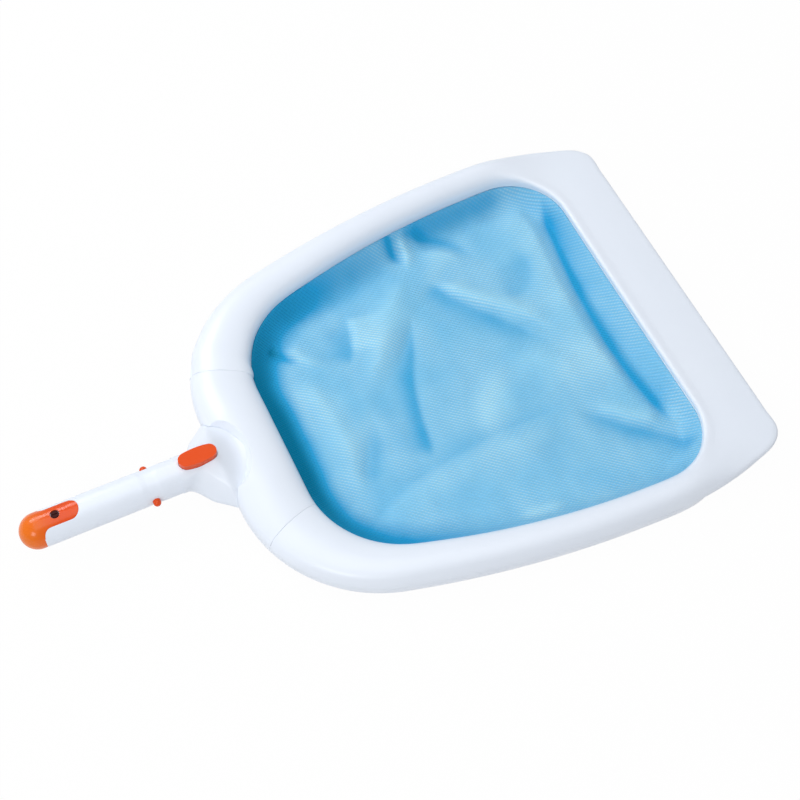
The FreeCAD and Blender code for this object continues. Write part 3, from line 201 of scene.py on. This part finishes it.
def brushedMetal(name, colour, roughness, stretch):
    look = brushing
    material, tree = newMaterial(name)
    place = addNode(tree, "ShaderNodeTexCoord").outputs["Object"]
    drawn = addNode(tree, "ShaderNodeMapping", {"Scale": stretch, "Vector": place}).outputs[0]
    lines = cloudy(tree, drawn, look["lineScale"], look["lineDetail"])
    tone = blended(tree, lines, tuple(part * look["darker"] for part in colour) + (1,), colour + (1,))
    rub = spread(tree, lines, roughness * look["clearest"], roughness * look["dullest"])
    inputs = {"Metallic": 1.0, "Base Color": tone, "Roughness": rub}
    shader = addNode(tree, "ShaderNodeBsdfPrincipled", inputs)
    addNode(tree, "ShaderNodeOutputMaterial", {"Surface": shader.outputs[0]})
    return material


# The weave's ribs cross at an angle. Beside the rib and gap colours the table holds two colours of painted
# shade, a half shade and a deep one. Where the net's painted shade attribute is high, the colour is darkened
# toward these and the shine is lowered.
weave = {"pitch": 0.00235, "turn": -41.0, "crossing": 74, "waver": 0.6, "waverDetail": 2, "waverScale": 0.6,
         "ribShare": 0.7, "ribTop": 1.6, "rib": (0.64, 0.90, 0.99), "gap": (0.30, 0.72, 0.96),
         "halfShade": (0.020, 0.44, 0.80), "deepShade": (0.001, 0.26, 0.46), "halfShadeAt": 0.5, "patchScale": 16,
         "patchDetail": 1, "patchFrom": 0.35, "patchTo": 0.65, "faintest": 0.45, "clearest": 1.25,
         "litShine": 0.45, "shadedShine": 0.08, "gapRoughness": 0.55, "ribRoughness": 0.30, "relief": 0.0005,
         "reliefStrength": 0.55, "through": 0.25}


def weaveLines(tree, cloth, turn):
    turned = addNode(tree, "ShaderNodeMapping", {
        "Vector": cloth, "Rotation": (0, 0, -math.radians(turn + 90))}, vector_type="POINT")
    lines = addNode(tree, "ShaderNodeTexWave", {
        "Vector": turned.outputs[0], "Scale": 2 * math.pi / 20 / weave["pitch"], "Distortion": weave["waver"],
        "Detail": weave["waverDetail"], "Detail Scale": weave["waverScale"]},
        wave_type="BANDS", bands_direction="X", wave_profile="SIN")
    return lines.outputs["Fac"]


def netFabric():
    material, tree = newMaterial("netFabric")
    cloth = addNode(tree, "ShaderNodeUVMap", uv_map="cloth").outputs["UV"]
    along = weaveLines(tree, cloth, weave["turn"])
    across = weaveLines(tree, cloth, weave["turn"] + weave["crossing"])
    knots = reckoned(tree, "MULTIPLY", along, across)
    ribs = reckoned(tree, "MULTIPLY_ADD", along, weave["ribShare"], knots)
    level = spread(tree, ribs, 0.0, 1.0, 0.0, weave["ribTop"])
    patches = cloudy(tree, cloth, weave["patchScale"], weave["patchDetail"])
    stretch = spread(tree, patches, weave["faintest"], weave["clearest"], weave["patchFrom"],
                     weave["patchTo"])
    shown = reckoned(tree, "MULTIPLY", level, stretch)
    tone = blended(tree, shown, weave["gap"] + (1,), weave["rib"] + (1,))
    # painted shade of the net, written per point when the net is built
    paintedShade = addNode(tree, "ShaderNodeAttribute", attribute_name="paintedShade").outputs["Fac"]
    # darken toward the painted half shade colour, then toward the painted deep shade colour
    for shadeKey, start, end in (("halfShade", 0.0, weave["halfShadeAt"]), ("deepShade", weave["halfShadeAt"], 1.0)):
        tone = blended(tree, spread(tree, paintedShade, 0.0, 1.0, start, end), tone, weave[shadeKey] + (1,))
    relief = bumpy(tree, ribs, weave["reliefStrength"], weave["relief"])
    # the shine is lowered where the painted shade is deep
    shader = addNode(tree, "ShaderNodeBsdfPrincipled", {
        "Base Color": tone, "Normal": relief,
        "Specular IOR Level": spread(tree, paintedShade, weave["litShine"], weave["shadedShine"]),
        "Roughness": spread(tree, level, weave["gapRoughness"], weave["ribRoughness"])})
    through = addNode(tree, "ShaderNodeBsdfTranslucent", {"Color": tone})
    both = mixedShader(tree, weave["through"], shader.outputs[0], through.outputs[0])
    addNode(tree, "ShaderNodeOutputMaterial", {"Surface": both})
    return material


noseTip = {"far": -0.252, "near": -0.287, "colour": (0.80, 0.17, 0.006)}
finishes = {
    "frame_plastic": mouldedPlastic("frameWhite", (0.79, 0.85, 0.94), (0.77, 0.83, 0.93), 0.36, coat=0.06,
                                    gloss=0.42),
    "inner_plastic": mouldedPlastic("innerWhite", (0.74, 0.75, 0.78), (0.68, 0.69, 0.72), 0.42),
    "orange_plastic": mouldedPlastic("orangeGloss", (0.77, 0.078, 0.004), (0.71, 0.066, 0.003), 0.24,
                                     coat=0.12, gloss=0.3, tip=noseTip),
    "screw_steel": brushedMetal("screwSteel", (0.62, 0.62, 0.64), 0.34, (1, 1, 12)),
    # the screw in the nose's eye is a real part; its near-black maroon is painted shade of the hole around it
    "dark_screw": mouldedPlastic("shadedEyeScrew", (0.055, 0.006, 0.006), (0.040, 0.005, 0.005), 0.6, gloss=0.15),
    "spring_steel": brushedMetal("springSteel", (0.70, 0.70, 0.72), 0.28, (12, 1, 1)),
    "mesh": netFabric(),
    "cord": mouldedPlastic("hemCord", (0.62, 0.78, 0.88), (0.52, 0.70, 0.84), 0.7, grainScale=3000.0,
                           grainDepth=0.0002),
}
for row in frame["record"]["subparts"]:
    node = nodes[row["node"]]
    node.data.materials.clear()
    node.data.materials.append(finishes[row["material_slot"]])
print("finishes ready")


# Shells: copies of the moulded pieces, which keep the normals of their true surfaces.
def shellOf(nodeName, name, body):
    shell = nodes[nodeName].copy()
    shell.data = shell.data.copy()
    bpy.context.scene.collection.objects.link(shell)
    shell.name = name
    shell.parent = None
    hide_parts(nodeName)
    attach(shell, body)
    return shell


shellNames = {"front_frame_upper": "frontFrameTop", "front_frame_lower": "frontFrameUnder",
              "yoke_upper": "yokeTop", "yoke_lower": "yokeUnder", "handle_body": "spigotAndNeck",
              "nose_cap": "noseCap"}
for nodeName, name in shellNames.items():
    shell = shellOf(nodeName, name, "skimmer")

# Thumb button, with its edges rounded.
thumb = {"weld": 0.00001, "edge": 0.0009, "edgeSteps": 3, "sharpFrom": 50, "crease": 40}
bpy.ops.object.select_all(action="DESELECT")
button = shellOf("release_button", "thumbButton", "button")
button.select_set(True)
bpy.context.view_layer.objects.active = button
bpy.ops.object.mode_set(mode="EDIT")
bpy.ops.mesh.select_all(action="SELECT")
bpy.ops.mesh.remove_doubles(threshold=thumb["weld"])
bpy.ops.object.mode_set(mode="OBJECT")
rounding = button.modifiers.new("rounding", "BEVEL")
rounding.width = thumb["edge"]
rounding.segments = thumb["edgeSteps"]
rounding.limit_method = "ANGLE"
rounding.angle_limit = math.radians(thumb["sharpFrom"])
bpy.ops.object.modifier_apply(modifier="rounding")
bpy.ops.object.shade_smooth_by_angle(angle=math.radians(thumb["crease"]))
evened = button.modifiers.new("evened", "WEIGHTED_NORMAL")
evened.keep_sharp = True
bpy.ops.object.modifier_apply(modifier="evened")
print("shells ready")


# Net: one sheet, held all round in the frame and lying slack on the ground.
netShape = {"middle": (0.08235, 0.0), "rear": -0.07315, "rearFlat": 0.102, "rearRadius": 0.080,
            "frontRadius": 0.050, "front": 0.23685, "halfWidth": 0.1595, "rimHeight": 0.0152,
            "floorHeight": 0.0021, "tuck": 0.0020, "rimInset": 0.0006, "lowest": 0.0012, "bow": 0.5,
            "arcSteps": 40, "directions": 1440, "cells": 150, "rim": 0.9999, "softening": 0.5,
            "softenings": 2, "thickness": 0.0005}
wallShape = {"least": 0.017, "front": 0.003, "rear": 0.001, "left": 0.006}


def netOutline():
    s = netShape
    widest = s["front"] - s["frontRadius"]
    centre = Vector((s["rear"] + s["rearRadius"], s["rearFlat"] / 2))
    turn = 2 * math.atan2(s["halfWidth"] - centre.y - s["rearRadius"], widest - centre.x)
    sideRadius = s["rearRadius"] + (widest - centre.x) / math.sin(turn)
    sideCentre = Vector((widest, s["halfWidth"] - sideRadius))
    frontCentre = Vector((widest, s["halfWidth"] - s["frontRadius"]))
    half = [Vector((s["rear"], 0.0))]
    for middle, radius, start, end in ((centre, s["rearRadius"], 0, math.pi / 2 - turn),
                                       (sideCentre, sideRadius, math.pi / 2 - turn, math.pi / 2),
                                       (frontCentre, s["frontRadius"], math.pi / 2, math.pi)):
        for step in range(s["arcSteps"] + 1):
            angle = start + (end - start) * step / s["arcSteps"]
            half.append(middle + radius * Vector((-math.cos(angle), math.sin(angle))))
    half.append(Vector((s["front"], 0.0)))
    return half + [Vector((point.x, -point.y)) for point in reversed(half[1:-1])]


def reachTable(outline, middle, count):  # how far the outline lies from the middle, in every direction
    nearlyNone = 1e-12
    slack = 1e-6
    found = []
    for number in range(count):
        angle = 2 * math.pi * number / count
        aim = Vector((math.cos(angle), math.sin(angle)))
        best = 0.0
        for here, there in zip(outline, outline[1:] + outline[:1]):
            along = there - here
            cross = aim.x * along.y - aim.y * along.x
            if abs(cross) < nearlyNone:
                continue
            offset = here - middle
            reach = (offset.x * along.y - offset.y * along.x) / cross
            share = (offset.x * aim.y - offset.y * aim.x) / cross
            if reach > 0 and -slack <= share <= 1 + slack:
                best = max(best, reach)
        found.append(best)
    return found


# Folds of the slack net, in mm. Each follows a line of points and has a height, a share of painted shade
# (darker in a crease; below 0 it is a painted highlight on a crest), a width to the left and to the right of
# the line, and a taper at both ends.
folds = [
    {"high": 5.0, "deepShade": -0.14, "left": 11, "right": 11, "ends": (26, 34),
     "line": [(95, 122), (62, 86), (36, 52), (8, 16)]},
    {"high": -3.2, "deepShade": 0.46, "left": 3.0, "right": 9, "ends": (30, 10),
     "line": [(78, 80), (62, 45), (48, 15), (40, -15), (36, -38), (32, -60)]},
    {"high": -2.6, "deepShade": 0.34, "left": 3.5, "right": 11, "ends": (8, 40),
     "line": [(101, 101), (112, 80), (128, 56), (148, 30), (164, 8), (178, -6)]},
    {"high": 5.0, "deepShade": -0.20, "left": 10, "right": 4, "ends": (14, 50),
     "line": [(108, 99), (124, 76), (146, 54), (166, 32), (184, 0)]},
    {"high": -3.0, "deepShade": 0.66, "left": 7, "right": 3.2, "ends": (16, 16),
     "line": [(230, 138), (223, 100), (217, 55), (213, 5), (213, -40), (217, -80), (222, -110)]},
    {"high": 4.4, "deepShade": -0.10, "left": 7, "right": 20, "ends": (20, 30),
     "line": [(206, 152), (206, 110), (201, 60), (198, 10), (200, -40), (207, -90)]},
    {"high": -2.6, "deepShade": 0.5, "left": 3.2, "right": 3.5, "ends": (3, 8),
     "line": [(-48, 93), (-38, 82), (-27, 67)]},
    {"high": 3.0, "deepShade": -0.12, "left": 9, "right": 3, "ends": (8, 12),
     "line": [(-38, 90), (-22, 68), (-6, 53)]},
    {"high": -2.6, "deepShade": 0.36, "left": 2.6, "right": 15, "ends": (14, 8),
     "line": [(24, 100), (19, 76), (8, 49)]},
    {"high": 3.2, "deepShade": -0.24, "left": 15, "right": 3, "ends": (8, 10),
     "line": [(27, 98), (26, 78), (17, 58)]},
    {"high": -3.0, "deepShade": 0.55, "left": 3.2, "right": 5, "ends": (3, 9),
     "line": [(89, 154), (88, 140), (92, 124)]},
    {"high": 3.6, "deepShade": -0.16, "left": 6, "right": 3, "ends": (6, 14),
     "line": [(97, 152), (98, 134), (92, 116)]},
    {"high": -3.0, "deepShade": 0.34, "left": 5, "right": 4, "ends": (4, 20),
     "line": [(101, 153), (124, 140), (141, 124), (152, 103)]},
    {"high": 2.6, "deepShade": -0.12, "left": 4, "right": 12, "ends": (12, 16),
     "line": [(108, 134), (132, 118), (140, 104)]},
    {"high": -2.6, "deepShade": 0.24, "left": 6, "right": 9, "ends": (22, 8),
     "line": [(8, 0), (-4, -28), (-20, -60)]},
    {"high": -2.8, "deepShade": 0.36, "left": 3.5, "right": 8, "ends": (22, 6),
     "line": [(154, -62), (184, -95), (204, -112), (230, -137)]},
    {"high": 4.0, "deepShade": -0.15, "left": 11, "right": 4, "ends": (18, 10),
     "line": [(166, -62), (192, -88), (216, -108)]},
    {"high": -2.0, "deepShade": 0.12, "left": 9, "right": 3, "ends": (14, 20),
     "line": [(-44, -100), (-20, -80), (20, -66), (60, -60), (100, -56), (152, -58)]},
    {"high": 3.4, "deepShade": -0.05, "left": 8, "right": 20, "ends": (14, 30),
     "line": [(-34, -98), (20, -80), (80, -74), (150, -78)]},
    {"high": -2.2, "deepShade": 0.22, "left": 6, "right": 14, "ends": (14, 14),
     "line": [(186, 104), (187, 80), (174, 62), (148, 60)]},
    {"high": -1.6, "deepShade": 0.16, "left": 16, "right": 9, "ends": (10, 10),
     "line": [(-34, 118), (20, 118), (84, 132)]},
    {"high": -1.4, "deepShade": 0.30, "left": 10, "right": 9, "ends": (6, 12),
     "line": [(106, 152), (150, 150), (206, 154)]},
    {"high": 1.2, "deepShade": -0.16, "left": 24, "right": 24, "ends": (20, 20),
     "line": [(78, -18), (124, -46)]},
    {"high": 2.6, "deepShade": -0.08, "left": 12, "right": 14, "ends": (20, 30),
     "line": [(126, 8), (164, -20), (190, -56)]},
    {"high": 3.0, "deepShade": -0.10, "left": 9, "right": 10, "ends": (14, 20),
     "line": [(-36, 62), (-27, 20), (-25, -24), (-34, -70)]},
    {"high": 2.2, "deepShade": -0.16, "left": 6, "right": 4, "ends": (10, 12),
     "line": [(66, -134), (92, -137), (116, -138)]},
]
# A fold's profile is a core with a wider skirt, and it narrows toward the fold's ends.
foldShape = {"from": -1.65, "endShare": 1.7, "narrowest": 0.3, "narrowing": 0.7, "core": 0.72, "skirt": 0.28,
             "skirtWidth": 1.9, "widest": 4, "lineSteps": 8, "calm": 0.012}
# How much painted shade the net gets: everywhere, in and beside creases, less on crests (a painted
# highlight), and on the walls at the rear and the left, which lie in the frame's shadow.
shadeAmounts = {"everywhere": 0.16, "crease": 0.58, "crest": 1.15, "wall": 0.9, "leftWall": 0.09, "wallReach": 1.7,
         "wallStart": 0.12}
ripple = {"height": 0.0006, "length": 16}
clouds = ({"tone": 0.05, "long": 34, "wide": 22, "layer": 3},
          {"tone": 0.035, "long": 12, "wide": 30, "layer": 9})


def clamped(value):
    return min(1.0, max(0.0, value))


def smoothStep(share):
    return share * share * (3 - 2 * share)


def smoothLine(points, steps):
    ends = [2 * points[0] - points[1]] + points + [2 * points[-1] - points[-2]]
    found = []
    for a, b, c, d in zip(ends, ends[1:], ends[2:], ends[3:]):
        for step in range(steps):
            t = step / steps
            found.append(0.5 * (2 * b + (c - a) * t + (2 * a - 5 * b + 4 * c - d) * t * t
                                + (3 * b - 3 * c + d - a) * t * t * t))
    found.append(points[-1])
    return found


def foldShare(fold, place):  # 1 on the fold's line, falling to 0 beside it and at its ends
    best = None
    for here, there, before in fold["runs"]:
        along = there - here
        share = clamped((place - here).dot(along) / along.length_squared)
        away = place - (here + along * share)
        reach = away.length
        if best is None or reach < best[0]:
            side = along.x * away.y - along.y * away.x
            best = (reach, side, before + along.length * share)
    reach, side, done = best
    width = fold["left"] if side > 0 else fold["right"]
    if reach > foldShape["widest"] * width:
        return 0.0
    taper = 1.0
    for gone, end in ((done, fold["ends"][0]), (fold["length"] - done, fold["ends"][1])):
        taper *= smoothStep(clamped(gone / min(end * foldShape["endShare"], fold["length"] / 2)))
    width *= foldShape["narrowest"] + foldShape["narrowing"] * taper
    return taper * (foldShape["core"] * math.exp(-(reach / width) ** 2)
                    + foldShape["skirt"] * math.exp(-(reach / width / foldShape["skirtWidth"]) ** 2))


for fold in folds:
    line = smoothLine([Vector(point) for point in fold["line"]], foldShape["lineSteps"])
    fold["runs"] = []
    length = 0.0
    for here, there in zip(line, line[1:]):
        fold["runs"].append((here, there, length))
        length += (there - here).length
    fold["length"] = length
    xs = [point.x for point in line]
    ys = [point.y for point in line]
    reach = foldShape["widest"] * max(fold["left"], fold["right"])
    fold["box"] = (min(xs) - reach, max(xs) + reach, min(ys) - reach, max(ys) + reach)


def wallWidth(angle):
    forward = max(0.0, math.cos(angle))
    backward = max(0.0, -math.cos(angle))
    left = max(0.0, math.sin(angle))
    return (wallShape["least"] + wallShape["front"] * forward ** 2 + wallShape["rear"] * backward ** 2
            + wallShape["left"] * left ** 2)


def wallShade(aim, inward, wall):  # painted shade on the walls at the rear and the left, which lie in the frame's shadow
    facing = max(0.0, -aim.x) ** 2 + shadeAmounts["leftWall"] * max(0.0, aim.y) ** 2
    gone = clamped((inward / (wall * shadeAmounts["wallReach"]) - shadeAmounts["wallStart"]) / (1 - shadeAmounts["wallStart"]))
    return shadeAmounts["wall"] * facing * (1 - smoothStep(gone))


def cloudTone(x, y):
    found = 0.0
    for cloud in clouds:
        found += cloud["tone"] * noise.noise(Vector((x / cloud["long"], y / cloud["wide"], cloud["layer"])))
    return found


def buildNet():
    s = netShape
    middle = Vector(s["middle"])
    count = s["directions"]
    reaches = reachTable(netOutline(), middle, count)
    bpy.ops.object.select_all(action="DESELECT")
    bpy.ops.mesh.primitive_grid_add(x_subdivisions=s["cells"], y_subdivisions=s["cells"], size=2,
                                    location=(0, 0, 0))
    net = bpy.context.object
    net.name = "net"
    mesh = net.data
    for layer in list(mesh.uv_layers):
        mesh.uv_layers.remove(layer)
    flat = []
    shadeShares = []
    for vertex in mesh.vertices:
        u, v = vertex.co.x, vertex.co.y
        disc = Vector((u * math.sqrt(1 - v * v / 2), v * math.sqrt(1 - u * u / 2)))
        out = min(1.0, disc.length)
        angle = math.atan2(disc.y, disc.x) % (2 * math.pi)
        spot = angle / (2 * math.pi) * count
        low = int(spot) % count
        reach = reaches[low] + (reaches[(low + 1) % count] - reaches[low]) * (spot - int(spot))
        aim = Vector((math.cos(angle), math.sin(angle)))
        inward = (1 - out) * reach
        place = middle + aim * (out * reach - s["rimInset"])
        wall = wallWidth(angle)
        down = min(1.0, inward / wall)
        slope = (1 - down) ** 2 * (1 + s["bow"] * down)
        height = s["floorHeight"] + (s["rimHeight"] - s["floorHeight"]) * slope
        calm = min(1.0, inward / foldShape["calm"])
        x, y = place.x * 1000 - foldShape["from"], place.y * 1000
        crease = 0.0
        for fold in folds:
            west, east, south, north = fold["box"]
            if west < x < east and south < y < north:
                share = foldShare(fold, Vector((x, y)))
                height += fold["high"] / 1000 * share * calm
                # creases add painted shade, crests take it away as a painted highlight
                crease += fold["deepShade"] * share * shadeAmounts["crease" if fold["deepShade"] > 0 else "crest"]
        wave = noise.noise(Vector((x / ripple["length"], y / ripple["length"], 0)))
        height += ripple["height"] * calm * wave
        height = max(s["lowest"], height)
        crease += calm * cloudTone(x, y)
        # painted shade per point: an even share, the walls' shadow, the folds and random clouds of tone
        shadeShares.append(clamped(shadeAmounts["everywhere"] + wallShade(aim, inward, wall) + crease))
        if out > s["rim"]:
            place = middle + aim * (reach + s["tuck"])
            height = s["rimHeight"]
        vertex.co = (place.x, place.y, height)
        flat.append((place.x, place.y))
    # stored as the painted shade attribute that the net's material reads
    paintedShade = mesh.attributes.new("paintedShade", "FLOAT", "POINT")
    for number, share in enumerate(shadeShares):
        paintedShade.data[number].value = share
    cloth = mesh.uv_layers.new(name="cloth")
    for loop in mesh.loops:
        cloth.data[loop.index].uv = flat[loop.vertex_index]
    soften = net.modifiers.new("soften", "SMOOTH")
    soften.factor = s["softening"]
    soften.iterations = s["softenings"]
    bpy.ops.object.modifier_apply(modifier="soften")
    gauge = net.modifiers.new("gauge", "SOLIDIFY")
    gauge.thickness = s["thickness"]
    gauge.offset = 0
    bpy.ops.object.modifier_apply(modifier="gauge")
    bpy.ops.object.shade_smooth()
    mesh.materials.clear()
    mesh.materials.append(finishes["mesh"])
    return net


net = buildNet()
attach(net, "skimmer")
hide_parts("mesh_bag")
print("net ready")
